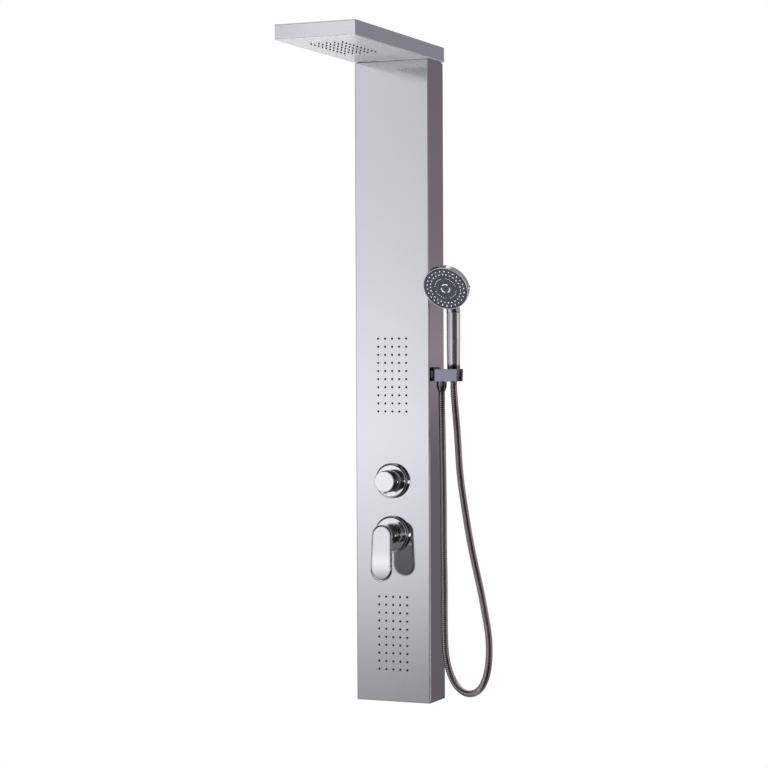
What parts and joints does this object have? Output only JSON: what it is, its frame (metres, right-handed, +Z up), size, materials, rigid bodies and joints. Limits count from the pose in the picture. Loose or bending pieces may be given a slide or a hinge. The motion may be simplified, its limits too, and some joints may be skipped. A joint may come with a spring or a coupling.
{
  "type": "rainfall shower column",
  "caption": "Wall-mounted flat shower column with a long rain head, two groups of body jets, a mixer lever, a diverter knob and a hand shower on a metal hose.",
  "frame": {"origin": "middle of the upper wall bracket's back face, on the plane of the wall", "axes": "+X to the viewer's right, +Y into the wall, +Z up"},
  "size_m": [0.3119, 0.44, 1.32],
  "materials": {
    "brushed_steel": "satin stainless steel with fine brushed grain",
    "side_steel": "satin stainless steel sides, folded",
    "gasket_foam": "black closed-cell foam tape",
    "frame_steel": "plain stainless sheet",
    "nozzle_silicone": "dark grey silicone",
    "manifold_plastic": "white moulded plastic",
    "copper_pipe": "drawn copper tube",
    "valve_brass": "cast and turned brass",
    "cartridge_plastic": "moulded plastic",
    "chrome": "polished chrome plate",
    "machined_steel": "turned stainless steel",
    "hose_steel": "interlocked stainless steel hose",
    "face_plastic": "dark grey glossy plastic",
    "white_silicone": "pale silicone nozzles"
  },
  "bodies": {
    "root": {"front_panel": "brushed_steel", "left_side_panel": "side_steel", "right_side_panel": "side_steel", "panel_gaskets": "gasket_foam", "bottom_cap": "side_steel", "head_saddle": "frame_steel", "upper_cross_rail": "frame_steel", "lower_cross_rail": "frame_steel", "upper_wall_bracket": "frame_steel", "lower_wall_bracket": "frame_steel", "head_top_cover": "brushed_steel", "head_front_plate": "brushed_steel", "head_left_plate": "brushed_steel", "head_right_plate": "brushed_steel", "head_back_plate": "brushed_steel", "rain_spray_plate": "brushed_steel", "rain_nozzle_mat": "nozzle_silicone", "rain_manifold": "manifold_plastic", "rain_inlet_elbow": "copper_pipe", "upper_jet_mat": "nozzle_silicone", "upper_jet_manifold": "manifold_plastic", "lower_jet_mat": "nozzle_silicone", "lower_jet_manifold": "manifold_plastic", "mixer_valve_body": "valve_brass", "mixer_cartridge": "cartridge_plastic", "mixer_retaining_nut": "valve_brass", "mixer_escutcheon": "chrome", "mixer_collar": "chrome", "inlet_strainers": "machined_steel", "diverter_valve_body": "valve_brass", "diverter_cartridge": "cartridge_plastic", "diverter_retaining_nut": "valve_brass", "diverter_escutcheon": "chrome", "link_pipe": "copper_pipe", "riser_pipe": "copper_pipe", "jet_tee": "valve_brass", "upper_jet_pipe": "copper_pipe", "lower_jet_pipe": "copper_pipe", "hand_shower_pipe": "copper_pipe", "pipe_nuts": "valve_brass", "holder_base": "chrome", "handset_cradle": "chrome", "outlet_nipple": "chrome", "outlet_nut": "chrome", "shower_hose": "hose_steel"},
    "diverter_control": {"diverter_spindle": "machined_steel", "diverter_knob": "chrome", "diverter_grub_screw": "machined_steel"},
    "mixer_turret": {"mixer_spindle": "machined_steel", "mixer_pin": "machined_steel"},
    "mixer_handle": {"mixer_lever": "chrome"},
    "hand_shower": {"hose_cone_nut": "chrome", "handset_handle": "chrome", "handset_shell": "chrome", "handset_core": "cartridge_plastic", "handset_nozzle_mat": "white_silicone", "handset_face": "face_plastic"},
    "spray_selector": {"selector_ring": "chrome"}
  },
  "joints": [
    {"name": "diverter_turn", "type": "hinge", "parent": "root", "child": "diverter_control", "pos_m": [0, -0.1, -0.7345], "axis": [0, 1, 0], "range_deg": [-90, 90]},
    {"name": "mixer_turn", "type": "hinge", "parent": "root", "child": "mixer_turret", "pos_m": [0, -0.1, -0.842], "axis": [0, 1, 0], "range_deg": [-45, 45]},
    {"name": "mixer_lift", "type": "hinge", "parent": "mixer_turret", "child": "mixer_handle", "pos_m": [0, -0.106, -0.842], "axis": [-1, 0, 0], "range_deg": [0, 18]},
    {"name": "hand_shower_lift", "type": "slide", "parent": "root", "child": "hand_shower", "axis": [0, 0, 1], "range_m": [0, 0.06]},
    {"name": "spray_select", "type": "hinge", "parent": "hand_shower", "child": "spray_selector", "pos_m": [0.124, -0.099, -0.3505], "axis": [0, -0.866, -0.5], "range_deg": [0, 90]}
  ]
}
